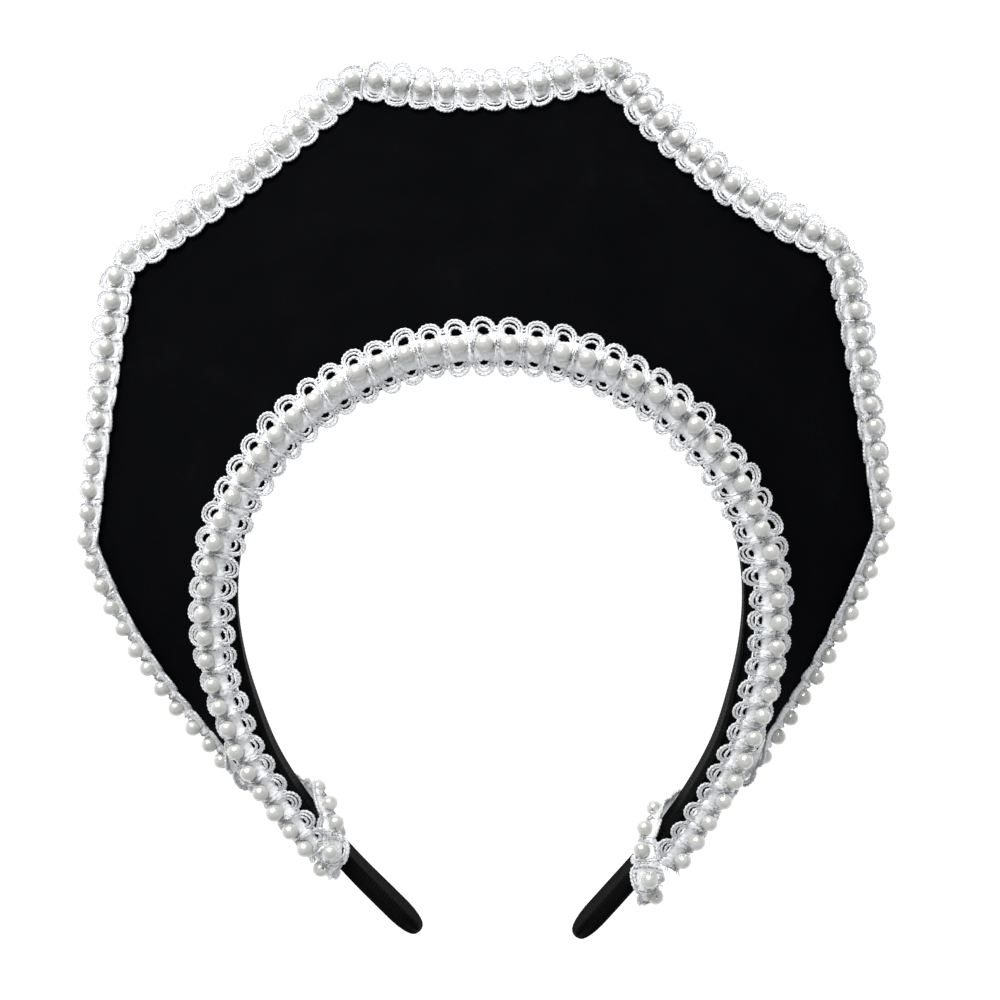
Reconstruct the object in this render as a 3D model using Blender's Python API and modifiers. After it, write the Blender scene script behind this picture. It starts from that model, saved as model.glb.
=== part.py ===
"""Crown headband: a velvet crown panel on a narrow band, edged with pearl braid.

It lies on its back on a surface, as it is stored: +X is to the right, +Y is the top of the crown and
+Z is its front. The surface is z = 0, and the origin is below the middle of the object.
The sizes and tables are in millimetres, and MM turns them into metres. The tables' own zero is on the
arch's middle line, and MIDDLE is where the object's origin lies from there.
"""

from collections import namedtuple

import bmesh
import bpy
import numpy as np
from mathutils import Matrix, Vector

MM = 0.001
MIDDLE = np.array([-0.85, 2.4, -0.14])

# Sizes of the pieces
BAND_THICKNESS = 2.4
PANEL_THICKNESS = 3.0
BRAID_THICKNESS = 1.2
TAPE_HALF = 2.45
BRAID_HALF = 7.6
PEARL_RADIUS = 2.2
PEARL_SINK = 0.8
PEARL_PITCH = 6.25
PEARL_SIDES = 10
PEARL_RINGS = 4
LOWEST_FACING = -0.25
SEAT_GAP = 0.35
BUTT_GAP = 0.5
CREASE = 40.0

# The arch leans: the middle of its top is its highest point, and its two tips lie on the surface.
# Its arms are sewn a little askew, so that both tips lie to the right of where they would otherwise
ARCH_TOP_Y = 32.3
ARCH_TOP_Z = 46.3
ARCH_FALL = 0.262
TIPS_ASIDE = 1.2

# Half of the arch, from the middle of its top to a tip: the band's front inner corner, the band's
# width and lean, how far out the front pearls run, and the falls and half widths of the front braid
Arch = namedtuple("Arch", "x y width lean out fall_in fall_out half_in half_out")
ARCH = [
    Arch(0.0, 32.3, 12.0, -14, 4.7, -8, 22, 7.0, 7.4),
    Arch(16.0, 30.4, 12.0, -14, 5.0, -8, 23, 7.0, 7.4),
    Arch(31.0, 24.3, 12.0, -12, 5.4, -6, 25, 6.8, 7.4),
    Arch(42.8, 17.0, 12.0, -9, 4.9, -3, 27, 6.8, 7.4),
    Arch(51.6, 8.2, 12.0, -6, 4.6, 0, 29, 6.8, 7.4),
    Arch(57.6, 0.0, 12.0, -3, 4.6, 3, 30, 6.9, 7.4),
    Arch(61.6, -10.0, 12.0, -1, 5.2, 6, 34, 7.1, 7.4),
    Arch(63.5, -22.0, 12.0, 0, 6.4, 10, 42, 7.1, 7.3),
    Arch(63.1, -38.0, 11.8, 2, 7.1, 20, 44, 6.8, 6.6),
    Arch(61.2, -50.0, 11.5, 5, 6.6, 22, 46, 6.8, 6.4),
    Arch(57.9, -62.5, 11.2, 8, 5.8, 24, 48, 6.8, 6.2),
    Arch(50.2, -78.2, 10.5, 13, 5.4, 26, 52, 6.0, 5.6),
    Arch(38.2, -95.4, 9.8, 20, 5.0, 26, 55, 2.8, 4.6),
    Arch(30.4, -104.7, 9.2, 25, 5.0, 25, 50, 2.8, 4.6),
    Arch(22.5, -113.6, 8.6, 28, 5.0, 25, 50, 2.8, 4.6),
]
RIB_STEP = 12.5
LAST_RIB = 143.75
SLOPE_STEP = 0.5
FRONT_ENDS = (-161.8, 167.3)
FRONT_PEARLS = 58

# How far each arm reaches past the table's last row, and the tips of the band: how far from the end,
# and the share of the width that is left there
LEFT_LONGER = 1.2
RIGHT_LONGER = 3.6
Tip = namedtuple("Tip", "back share")
TIPS = [Tip(0.0, 0.26), Tip(1.3, 0.58), Tip(3.6, 0.85), Tip(7.0, 1.0)]

# The corners of the rim, left to right: the line of the rim's pearls, the height of the panel's
# edge, the bulge of the side that follows, and the braid's falls and half widths
Rim = namedtuple("Rim", "x y z bulge fall_in fall_out half_in half_out")
RIM = [
    Rim(-69.9, -63.6, 8.6, 3.7, 70, 86, 2.0, 5.0),
    Rim(-103.9, -9.1, 7.2, 0.5, 62, 40, 3.8, 6.4),
    Rim(-94.4, 63.7, 6.2, -2.3, 36, 20, 6.4, 7.4),
    Rim(-32.6, 111.0, 5.6, -5.3, 30, 8, 6.6, 7.4),
    Rim(34.3, 113.1, 5.6, -5.4, 30, 8, 7.0, 7.4),
    Rim(93.4, 63.9, 6.2, 0.5, 36, 20, 6.8, 7.4),
    Rim(102.5, -9.4, 7.2, 1.9, 62, 45, 5.0, 6.4),
    Rim(72.2, -62.8, 8.6, 0.0, 70, 86, 2.4, 5.0),
]
SIDE_PARTS = 3
RIM_EDGE = 1.4
PANEL_SLOPE = 38
HORN_OUT = 6.6
HORN_DROP = 8.6

# The rim braid's ends, from the corner behind the band's arm: where along the arch, on the left and
# on the right, how far out from the band's front inner corner and above it, which way the pearls
# face, turning from outward, and the braid's half width
Wrap = namedtuple("Wrap", "left right out up facing half")
WRAP = [
    Wrap(133.0, 133.5, 12.0, -14.6, -8, 3.6),
    Wrap(136.5, 138.0, 9.8, -13.6, -35, 4.0),
    Wrap(141.5, 145.0, 6.3, -13.0, -62, 4.2),
    Wrap(145.5, 151.5, 1.6, -12.2, -90, 4.0),
    Wrap(148.5, 155.0, -3.4, -12.4, -122, 3.6),
    Wrap(150.5, 157.5, -5.0, -9.0, -178, 3.2),
    Wrap(154.0, 161.5, -3.8, -5.4, -197, 3.2),
    Wrap(158.5, 166.0, -2.8, -3.0, -200, 3.2),
    Wrap(163.5, 170.5, -0.7, 1.6, -245, 3.2),
    Wrap(168.5, 175.0, 2.0, 2.1, -278, 3.2),
    Wrap(170.5, 177.5, 4.9, -4.0, -355, 3.2),
]

# The finishes: ribbon on the band, velvet on the panel, white braid and pearls
Look = namedtuple("Look", "colour roughness")
RIBBON = Look((0.012, 0.012, 0.013), 0.75)
VELVET = Look((0.004, 0.004, 0.005), 0.95)
PEARLY = Look((0.85, 0.85, 0.84), 0.45)

UP = np.array([0.0, 0.0, 1.0])


def unit(vector):
    return vector / np.linalg.norm(vector)


def turn(degrees):
    """Cosine and sine of an angle in degrees."""
    return np.cos(np.radians(degrees)), np.sin(np.radians(degrees))


def placed(point):
    """A point of the tables as a vector in metres from the object's origin."""
    return Vector((point - MIDDLE) * MM)


def whole_arch():
    """Distances along the arch, nought at its top, and its rows from the left tip to the right."""
    right = np.array(ARCH, float)
    left = right[:0:-1].copy()
    left[:, 0] *= -1
    rows = np.vstack([left, right])
    down = (ARCH_TOP_Y - rows[:, 1]) / (ARCH_TOP_Y - ARCH[-1].y)
    rows[:, 0] += TIPS_ASIDE * down ** 2
    steps = np.linalg.norm(np.diff(rows[:, :2], axis=0), axis=1)
    along = np.concatenate([[0.0], np.cumsum(steps)])
    return along - along[len(left)], rows


ALONG, ARCH_ROWS = whole_arch()
ARCH_SLOPES = np.gradient(ARCH_ROWS, ALONG, axis=0)


def arch_row(s):
    """The columns of the arch table at the distance s, on a smooth curve through its rows."""
    i = int(np.clip(np.searchsorted(ALONG, s) - 1, 0, len(ALONG) - 2))
    step = ALONG[i + 1] - ALONG[i]
    t = (s - ALONG[i]) / step
    start = (1 + 2 * t) * (1 - t) ** 2 * ARCH_ROWS[i] + t * (1 - t) ** 2 * step * ARCH_SLOPES[i]
    end = t * t * (3 - 2 * t) * ARCH_ROWS[i + 1] - t * t * (1 - t) * step * ARCH_SLOPES[i + 1]
    return Arch(*(start + end))


def arch_frame(s):
    """The band's front inner corner at s, the direction out of the arch there, and the row."""
    row = arch_row(s)
    before = arch_row(s - SLOPE_STEP)
    after = arch_row(s + SLOPE_STEP)
    outward = unit(np.array([before.y - after.y, after.x - before.x, 0.0]))
    height = ARCH_TOP_Z - ARCH_FALL * (ARCH_TOP_Y - row.y)
    return np.array([row.x, row.y, height]), outward, row


def front_seat(s):
    """The middle of the front braid's underside at s: its inner half clears the band's edge."""
    corner, outward, row = arch_frame(s)
    cos_in, sin_in = turn(row.fall_in)
    cos_lean, sin_lean = turn(row.lean)
    reach = row.out - BAND_THICKNESS * cos_lean
    rise = BAND_THICKNESS * max(0.0, -sin_lean)
    height = SEAT_GAP / cos_in + rise - reach * sin_in / cos_in
    return corner + row.out * outward + height * UP, outward, row


def panel_section(s, edge):
    """Four points of the panel's face, from the arch to its edge, for the rib at s."""
    corner = arch_frame(s)[0]
    seat, outward, row = front_seat(s)
    cos_in, sin_in = turn(row.fall_in)
    cos_out, sin_out = turn(row.fall_out)
    fold = seat - SEAT_GAP / min(cos_in, cos_out) * UP
    cos_lean, sin_lean = turn(min(0.0, row.lean))
    clear = BAND_THICKNESS + BUTT_GAP + PANEL_THICKNESS * (sin_in - cos_in * sin_lean / cos_lean)
    rise = (row.out - clear) * sin_in / cos_in
    inner = corner + clear * outward
    inner[2] = fold[2] + rise
    foot = fold + BRAID_HALF * (cos_out * outward - sin_out * UP)
    if abs(s) > LAST_RIB - RIB_STEP / 2:
        foot = (fold + edge) / 2
    return [inner, fold, foot, edge]


def rim_stations():
    """The rim's stations, from corner to corner: each one's row and its direction out of the rim."""
    rows = []
    for here, there in zip(RIM, RIM[1:]):
        start = np.array(here, float)
        end = np.array(there, float)
        side = unit(end[:2] - start[:2])
        for part in range(SIDE_PARTS):
            t = part / SIDE_PARTS
            row = start + t * (end - start)
            bulge = 4 * t * (1 - t) * here.bulge
            row[:2] += bulge * np.array([-side[1], side[0]])
            rows.append(row)
    rows.append(np.array(RIM[-1], float))
    stations = []
    for i, row in enumerate(rows):
        before = unit(row[:2] - rows[i - 1][:2]) if i else unit(rows[1][:2] - row[:2])
        after = unit(rows[i + 1][:2] - row[:2]) if i + 1 < len(rows) else before
        along = unit(before + after)
        mitre = 1.0 / float(np.dot(along, after))
        outward = mitre * np.array([-along[1], along[0], 0.0])
        stations.append((Rim(*row), outward))
    return stations


def panel_edge(station):
    """The front corner of the panel's edge at a station of the rim."""
    row, outward = station
    return np.array([row.x, row.y, row.z]) - RIM_EDGE * outward


def horn_edge(s):
    """The end of a horn's edge, close behind the front braid."""
    corner, outward = arch_frame(s)[:2]
    return corner + HORN_OUT * outward - HORN_DROP * UP


def strip(name, sections, thickness, offset, even=True):
    """A bent strip through sections of points, made solid by its thickness."""
    columns = len(sections) - 1
    rows = len(sections[0]) - 1
    mesh = bpy.data.meshes.new(name)
    bm = bmesh.new()
    bmesh.ops.create_grid(bm, x_segments=columns, y_segments=rows, size=1.0)
    for vert in bm.verts:
        i = round((vert.co.x + 1) / 2 * columns)
        j = round((vert.co.y + 1) / 2 * rows)
        vert.co = placed(sections[i][j])
    bm.to_mesh(mesh)
    bm.free()
    mesh.shade_smooth()
    mesh.set_sharp_from_angle(angle=np.radians(CREASE))
    piece = bpy.data.objects.new(name, mesh)
    solid = piece.modifiers.new("thickness", "SOLIDIFY")
    solid.thickness = thickness * MM
    solid.offset = offset
    solid.use_even_offset = even
    return piece


def arm_sections(side, longer):
    """The front and back corner of the band's inner face along one arm, from the middle to its tip."""
    end = ALONG[-1] + longer
    ribs = np.arange(RIB_STEP / 2, end - TIPS[-1].back - RIB_STEP / 2, RIB_STEP)
    sections = []
    for s in [*ribs, *(end - tip.back for tip in TIPS[::-1])]:
        corner, outward, row = arch_frame(side * s)
        cosine, sine = turn(row.lean)
        across = -sine * outward - cosine * UP
        share = np.interp(end - s, [tip.back for tip in TIPS], [tip.share for tip in TIPS])
        trim = (1 - share) / 2 * row.width
        sections.append([corner + trim * across, corner + (row.width - trim) * across])
    return sections


def band_sections():
    """The band's sections from its left tip to its right one."""
    return arm_sections(-1, LEFT_LONGER)[::-1] + arm_sections(1, RIGHT_LONGER)


def panel_sections():
    """The panel's ribs, from the left horn to the right one."""
    edges = [panel_edge(station) for station in rim_stations()]
    edges = [horn_edge(-LAST_RIB)] + edges + [horn_edge(LAST_RIB)]
    ribs = np.arange(-LAST_RIB, LAST_RIB + 1, RIB_STEP)
    return [panel_section(s, edge) for s, edge in zip(ribs, edges)]


def braid_section(middle, inward, outward, row):
    """Four points across a braid's underside: tip, both edges of the tape, and the other tip."""
    flat = unit(outward - inward)
    return [
        middle + row.half_in * inward,
        middle - TAPE_HALF * flat,
        middle + TAPE_HALF * flat,
        middle + row.half_out * outward,
    ]


def fall_directions(outward, row):
    """The directions of a braid's inner and outer half, which fall away from the front."""
    cos_in, sin_in = turn(row.fall_in)
    cos_out, sin_out = turn(row.fall_out)
    return sin_in * UP - cos_in * outward, cos_out * outward - sin_out * UP


def front_braid():
    """Sections of the front braid, from its left end to its right one."""
    ribs = np.arange(-LAST_RIB - RIB_STEP, LAST_RIB + RIB_STEP + 1, RIB_STEP)
    sections = []
    for s in [FRONT_ENDS[0], *ribs, FRONT_ENDS[1]]:
        seat, outward, row = front_seat(s)
        inward, out = fall_directions(outward, row)
        sections.append(braid_section(seat, inward, out, row))
    return sections


def wrap_sections(side):
    """Sections of a rim braid's end round the band's arm, from the corner to the end."""
    sections = []
    for wrap in WRAP:
        s = wrap.right if side > 0 else -wrap.left
        corner, outward = arch_frame(s)[:2]
        middle = corner + wrap.out * outward + wrap.up * UP
        cosine, sine = turn(wrap.facing)
        facing = cosine * outward + sine * UP
        sections.append((middle, facing, wrap.half))
    middles = [section[0] for section in sections]
    out = []
    for i, (middle, facing, half) in enumerate(sections):
        ahead = middles[min(i + 1, len(middles) - 1)]
        behind = middles[max(i - 1, 0)]
        along = side * unit(ahead - behind)
        across = unit(np.cross(facing, along))
        out.append([middle + shift * across for shift in (-half, -TAPE_HALF, TAPE_HALF, half)])
    return out


def rim_rise(row):
    """How high the rim braid's middle lies above the panel's edge, so that its tape clears both the
    edge's corner and the face, which rises from there."""
    cosine, sine = turn((row.fall_in + row.fall_out) / 2)
    cos_face, sin_face = turn(min(row.fall_in, PANEL_SLOPE))
    at_corner = (SEAT_GAP - RIM_EDGE * sine) / cosine
    face_height = (TAPE_HALF * cosine - RIM_EDGE) * sin_face / cos_face
    at_face = face_height + SEAT_GAP / cos_face - TAPE_HALF * sine
    return max(at_corner, at_face)


def rim_braid():
    """Sections of the rim braid: the left end, the rim's stations and the right end."""
    sections = wrap_sections(-1)[::-1]
    for row, outward in rim_stations():
        inward, out = fall_directions(outward, row)
        middle = np.array([row.x, row.y, row.z + rim_rise(row)])
        sections.append(braid_section(middle, inward, out, row))
    return sections + wrap_sections(1)


def pearls(name, sections, count):
    """A row of pearls along the tape, sunk a little into it, as one mesh of spheres.

    The pearls that face the surface, where the tape crosses behind the band's arms, are left out."""
    middles = np.array([(section[1] + section[2]) / 2 for section in sections])
    across = np.array([unit(section[2] - section[1]) for section in sections])
    steps = np.linalg.norm(np.diff(middles, axis=0), axis=1)
    along = np.concatenate([[0.0], np.cumsum(steps)])
    faces = np.cross(np.gradient(middles, along, axis=0), across)
    margin = PEARL_PITCH / 2
    bm = bmesh.new()
    for place in np.linspace(margin, along[-1] - margin, count):
        i = int(np.clip(np.searchsorted(along, place) - 1, 0, len(steps) - 1))
        t = (place - along[i]) / steps[i]
        middle = (1 - t) * middles[i] + t * middles[i + 1]
        facing = unit((1 - t) * faces[i] + t * faces[i + 1])
        if facing[2] < LOWEST_FACING:
            continue
        centre = middle + (BRAID_THICKNESS + PEARL_RADIUS - PEARL_SINK) * facing
        turned = Vector(facing).to_track_quat("Z", "Y").to_matrix().to_4x4()
        bmesh.ops.create_uvsphere(
            bm,
            u_segments=PEARL_SIDES,
            v_segments=PEARL_RINGS,
            radius=PEARL_RADIUS * MM,
            matrix=Matrix.Translation(placed(centre)) @ turned,
        )
    mesh = bpy.data.meshes.new(name)
    bm.to_mesh(mesh)
    bm.free()
    mesh.shade_smooth()
    return bpy.data.objects.new(name, mesh)


def braid_with_pearls(name, sections, count, cutters):
    """A braid strip and its pearls, united into one body."""
    piece = strip(name, sections, BRAID_THICKNESS, 1.0, even=False)
    row = pearls(name + "_pearls", sections, count)
    row.hide_render = True
    row.display_type = "WIRE"
    cutters.objects.link(row)
    union = piece.modifiers.new("pearls", "BOOLEAN")
    union.operation = "UNION"
    union.solver = "EXACT"
    union.object = row
    return piece


def finish(name, look):
    """A material of one colour and roughness."""
    material = bpy.data.materials.new(name)
    material.use_nodes = True
    shader = material.node_tree.nodes["Principled BSDF"]
    shader.inputs["Base Color"].default_value = (*look.colour, 1.0)
    shader.inputs["Roughness"].default_value = look.roughness
    shader.inputs["Metallic"].default_value = 0.0
    material.diffuse_color = (*look.colour, 1.0)
    return material


def main():
    for old in list(bpy.data.objects):
        bpy.data.objects.remove(old, do_unlink=True)
    parts = bpy.data.collections.new("crown_headband")
    cutters = bpy.data.collections.new("crown_headband_pearls")
    bpy.context.scene.collection.children.link(parts)
    bpy.context.scene.collection.children.link(cutters)

    rim = rim_braid()
    middles = np.array([(section[1] + section[2]) / 2 for section in rim])
    rim_length = np.linalg.norm(np.diff(middles, axis=0), axis=1).sum()
    rim_pearls = round(rim_length / PEARL_PITCH)
    band = strip("headband", band_sections(), BAND_THICKNESS, 1.0)
    panel = strip("crown_panel", panel_sections(), PANEL_THICKNESS, -1.0)
    front = braid_with_pearls("front_trim", front_braid(), FRONT_PEARLS, cutters)
    edge = braid_with_pearls("rim_trim", rim, rim_pearls, cutters)
    pieces = [(band, RIBBON), (panel, VELVET), (front, PEARLY), (edge, PEARLY)]
    for piece, look in pieces:
        piece.data.materials.append(finish(piece.name, look))
        parts.objects.link(piece)


main()
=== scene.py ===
# %% [markdown]
# A crown headband lies on its back on a pale table and is seen from straight above. It has a black
# velvet panel with six corners, a narrow ribbon-covered band that goes over the head, and white looped
# braid with pearls along both edges.
# A reader who is learning Blender can follow it cell by cell. Each braid is one path with a formula for
# its surface, and everything on it, from cord to pearl, is placed along that path by loops.

# %% Load the solids
from collections import namedtuple

import bpy
import numpy as np
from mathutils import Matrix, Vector


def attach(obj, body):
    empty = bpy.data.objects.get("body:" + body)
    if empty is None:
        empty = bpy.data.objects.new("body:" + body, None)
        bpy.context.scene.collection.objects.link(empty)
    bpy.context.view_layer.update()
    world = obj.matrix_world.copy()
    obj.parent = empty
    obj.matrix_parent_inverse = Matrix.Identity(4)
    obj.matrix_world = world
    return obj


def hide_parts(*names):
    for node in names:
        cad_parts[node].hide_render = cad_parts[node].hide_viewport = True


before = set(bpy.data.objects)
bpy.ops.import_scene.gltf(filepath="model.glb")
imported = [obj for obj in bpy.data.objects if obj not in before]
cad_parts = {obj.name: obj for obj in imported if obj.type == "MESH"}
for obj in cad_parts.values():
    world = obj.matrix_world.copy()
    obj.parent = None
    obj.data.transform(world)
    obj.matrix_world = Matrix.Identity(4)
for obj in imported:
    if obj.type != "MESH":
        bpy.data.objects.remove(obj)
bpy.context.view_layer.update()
MM = 0.001

# %% [markdown]
# The camera looks straight down from half a metre, over the point from which the tables below are
# measured. The headband was laid a little askew, and turning the camera about its own axis says that in
# one number. A lens this close shows the raised arch larger than the rim, so the distance matters more
# than the lens. A small shift frames the object without a change of that view.

# %% Place the camera
CAMERA_HEIGHT = 500.0
LENS = 67.7
ASKEW = -1.2
FRAME_SHIFT = 0.012
MIDDLE = np.array([-0.85, 2.4, -0.14])
camera = bpy.data.objects.new("camera", bpy.data.cameras.new("camera"))
camera.data.lens = LENS
camera.data.sensor_width = 36.0
camera.data.shift_x = FRAME_SHIFT
camera.location = (np.array([0.0, 0.0, CAMERA_HEIGHT]) - MIDDLE) * MM
camera.rotation_euler = (0.0, 0.0, np.radians(ASKEW))
bpy.context.scene.collection.objects.link(camera)
bpy.context.scene.camera = camera
print("camera sees", round(36.0 / LENS * CAMERA_HEIGHT), "mm of the table")

# %% [markdown]
# The arch that carries everything is one short table: its front inner corner, the band's width and lean,
# and how the front braid sits on it. The solids were lofted through the same rows, so a piece worked out
# from them fits the solids without being moved. The arms were sewn a little askew, so both tips lie to
# the right.

# %% Write down the arch
BAND_THICKNESS = 2.4
PANEL_THICKNESS = 3.0
TAPE_HALF = 2.45
BRAID_HALF = 7.6
SEAT_GAP = 0.35
ARCH_TOP_Y = 32.3
ARCH_TOP_Z = 46.3
ARCH_FALL = 0.262
TIPS_ASIDE = 1.2
UP = np.array([0.0, 0.0, 1.0])

Arch = namedtuple("Arch", "x y width lean out fall_in fall_out half_in half_out")
ARCH = [
    Arch(0.0, 32.3, 12.0, -14, 4.7, -8, 22, 7.0, 7.4),
    Arch(16.0, 30.4, 12.0, -14, 5.0, -8, 23, 7.0, 7.4),
    Arch(31.0, 24.3, 12.0, -12, 5.4, -6, 25, 6.8, 7.4),
    Arch(42.8, 17.0, 12.0, -9, 4.9, -3, 27, 6.8, 7.4),
    Arch(51.6, 8.2, 12.0, -6, 4.6, 0, 29, 6.8, 7.4),
    Arch(57.6, 0.0, 12.0, -3, 4.6, 3, 30, 6.9, 7.4),
    Arch(61.6, -10.0, 12.0, -1, 5.2, 6, 34, 7.1, 7.4),
    Arch(63.5, -22.0, 12.0, 0, 6.4, 10, 42, 7.1, 7.3),
    Arch(63.1, -38.0, 11.8, 2, 7.1, 20, 44, 6.8, 6.6),
    Arch(61.2, -50.0, 11.5, 5, 6.6, 22, 46, 6.8, 6.4),
    Arch(57.9, -62.5, 11.2, 8, 5.8, 24, 48, 6.8, 6.2),
    Arch(50.2, -78.2, 10.5, 13, 5.4, 26, 52, 6.0, 5.6),
    Arch(38.2, -95.4, 9.8, 20, 5.0, 26, 55, 2.8, 4.6),
    Arch(30.4, -104.7, 9.2, 25, 5.0, 25, 50, 2.8, 4.6),
    Arch(22.5, -113.6, 8.6, 28, 5.0, 25, 50, 2.8, 4.6),
]
RIB_STEP = 12.5
LAST_RIB = 143.75
FRONT_ENDS = (-161.8, 167.3)
print("arch rows:", len(ARCH))

# %% Run a smooth curve through the rows
def unit(vectors):
    """Vectors of length one; the last axis holds x, y and z."""
    return vectors / np.linalg.norm(vectors, axis=-1, keepdims=True)


def turn(degrees):
    return np.cos(np.radians(degrees)), np.sin(np.radians(degrees))


def lengths_along(points):
    """The distance from the first point to each point of a line."""
    steps = np.linalg.norm(np.diff(points, axis=0), axis=1)
    return np.concatenate([[0.0], np.cumsum(steps)])


right_half = np.array(ARCH, float)
left_half = right_half[:0:-1].copy()
left_half[:, 0] *= -1
ARCH_ROWS = np.vstack([left_half, right_half])
down = (ARCH_TOP_Y - ARCH_ROWS[:, 1]) / (ARCH_TOP_Y - ARCH[-1].y)
ARCH_ROWS[:, 0] += TIPS_ASIDE * down ** 2
ALONG = lengths_along(ARCH_ROWS[:, :2])
ALONG -= ALONG[len(left_half)]
ARCH_SLOPES = np.gradient(ARCH_ROWS, ALONG, axis=0)


def arch_row(s):
    """The table's columns at the distance s from the top of the arch."""
    i = int(np.clip(np.searchsorted(ALONG, s) - 1, 0, len(ALONG) - 2))
    step = ALONG[i + 1] - ALONG[i]
    t = (s - ALONG[i]) / step
    start = (1 + 2 * t) * (1 - t) ** 2 * ARCH_ROWS[i] + t * (1 - t) ** 2 * step * ARCH_SLOPES[i]
    end = t * t * (3 - 2 * t) * ARCH_ROWS[i + 1] - t * t * (1 - t) * step * ARCH_SLOPES[i + 1]
    return Arch(*(start + end))


def arch_frame(s):
    """The band's front inner corner at s, the direction out of the arch there, and the row."""
    row = arch_row(s)
    before = arch_row(s - 0.5)
    after = arch_row(s + 0.5)
    outward = unit(np.array([before.y - after.y, after.x - before.x, 0.0]))
    height = ARCH_TOP_Z - ARCH_FALL * (ARCH_TOP_Y - row.y)
    return np.array([row.x, row.y, height]), outward, row


def front_seat(s, pulled_in=0.0):
    """The middle of the front braid's underside at s, the direction outward and the row."""
    corner, outward, row = arch_frame(s)
    row = row._replace(out=row.out - pulled_in)
    cos_in, sin_in = turn(row.fall_in)
    cos_lean, sin_lean = turn(row.lean)
    reach = row.out - BAND_THICKNESS * cos_lean
    rise = BAND_THICKNESS * max(0.0, -sin_lean)
    height = SEAT_GAP / cos_in + rise - reach * sin_in / cos_in
    return corner + row.out * outward + height * UP, outward, row


print("the arch is", round(ALONG[-1] - ALONG[0]), "mm long from tip to tip")

# %% [markdown]
# The rim is a second table, a row for each corner. Between two corners the side bulges out or dips in a
# little, as a parabola. Hand sewing made the left and the right side differ, so both are written down
# and nothing is mirrored.

# %% Write down the rim and the wrapped ends
Rim = namedtuple("Rim", "x y z bulge fall_in fall_out half_in half_out")
RIM = [
    Rim(-69.9, -63.6, 8.6, 3.7, 70, 86, 2.0, 5.0),
    Rim(-103.9, -9.1, 7.2, 0.5, 62, 40, 3.8, 6.4),
    Rim(-94.4, 63.7, 6.2, -2.3, 36, 20, 6.4, 7.4),
    Rim(-32.6, 111.0, 5.6, -5.3, 30, 8, 6.6, 7.4),
    Rim(34.3, 113.1, 5.6, -5.4, 30, 8, 7.0, 7.4),
    Rim(93.4, 63.9, 6.2, 0.5, 36, 20, 6.8, 7.4),
    Rim(102.5, -9.4, 7.2, 1.9, 62, 45, 5.0, 6.4),
    Rim(72.2, -62.8, 8.6, 0.0, 70, 86, 2.4, 5.0),
]
RIM_EDGE = 1.4
PANEL_SLOPE = 38
HORN_OUT = 6.6
HORN_DROP = 8.6

Wrap = namedtuple("Wrap", "left left_out right right_out up facing half")
WRAP = [
    Wrap(133.0, 12.0, 133.5, 12.0, -14.6, -8, 3.6),
    Wrap(136.5, 9.8, 138.0, 9.8, -13.6, -46, 3.8),
    Wrap(141.5, 6.3, 145.0, 6.3, -13.0, -84, 3.5),
    Wrap(145.5, 2.0, 151.5, 2.2, -12.6, -118, 3.2),
    Wrap(148.5, -2.0, 156.0, -2.0, -12.0, -152, 3.0),
    Wrap(150.5, -3.5, 159.5, -3.6, -9.0, -172, 3.2),
    Wrap(153.5, -3.3, 163.0, -3.3, -5.4, -192, 3.2),
    Wrap(157.5, -3.0, 166.8, -2.4, -3.0, -200, 3.2),
    Wrap(161.5, -1.6, 170.8, -0.2, 1.6, -240, 3.2),
    Wrap(165.0, 1.4, 174.6, 2.8, 2.1, -278, 3.2),
    Wrap(166.5, 4.6, 177.0, 5.8, -4.0, -355, 3.2),
]
print("rim corners:", len(RIM), "rows in a wrapped end:", len(WRAP))


# %% Follow the rim
SIDE_PARTS = 24
CORNER_SOFTNESS = 1.2


def rim_stations():
    """Rows along the rim, SIDE_PARTS to a side, with the direction out of the rim at each."""
    rows = []
    for here, there in zip(RIM, RIM[1:]):
        start = np.array(here, float)
        end = np.array(there, float)
        side = unit(end[:2] - start[:2])
        for part in range(SIDE_PARTS):
            t = part / SIDE_PARTS
            row = start + t * (end - start)
            row[:2] += 4 * t * (1 - t) * here.bulge * np.array([-side[1], side[0]])
            rows.append(row)
    rows.append(np.array(RIM[-1], float))
    rows = np.array(rows)
    steps = unit(np.diff(rows[:, :2], axis=0))
    before = np.vstack([steps[:1], steps])
    after = np.vstack([steps, steps[-1:]])
    along = unit(before + after)
    mitre = 1.0 / np.sum(along * after, axis=1)
    outward = np.column_stack([-along[:, 1] * mitre, along[:, 0] * mitre, np.zeros(len(rows))])
    return [Rim(*row) for row in rows], outward


RIM_ROWS, RIM_OUTWARD = rim_stations()
print("rim stations:", len(RIM_ROWS))

# %% [markdown]
# A braid is a bent strip, so one function can say where any point of it lies: u along it, v across it and
# w up from its underside. The strip is kept as sections every half millimetre. Each cord, thread and
# pearl is drawn flat, in u, v and w, and is bent into place by this function. The other way would be a
# Curve modifier, but that bends round one line only, and this strip also folds over its middle.

# %% Collect the sections of a braid
SECTION_STEP = 0.5
Section = namedtuple("Section", "middle across_in across_out half_in half_out")
Path = namedtuple("Path", "along points normals length ends")


def fall_directions(outward, row):
    """The directions of a braid's inner and outer half, which fall away from its middle."""
    cos_in, sin_in = turn(row.fall_in)
    cos_out, sin_out = turn(row.fall_out)
    return sin_in * UP - cos_in * outward, cos_out * outward - sin_out * UP


LOOPS_IN = 7.2
LOOPS_UP = 5.5
LEFT_PULL = 1.9
RIGHT_PULL = 0.5
PULL_FROM = 128.0


def braid_section(middle, inward, outward, half_in, half_out):
    """Four points across a braid's underside: tip, both edges of the tape, and the other tip."""
    flat = unit(outward - inward)
    return np.array([
        middle + half_in * unit(inward),
        middle - TAPE_HALF * flat,
        middle + TAPE_HALF * flat,
        middle + half_out * unit(outward),
    ])


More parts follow.
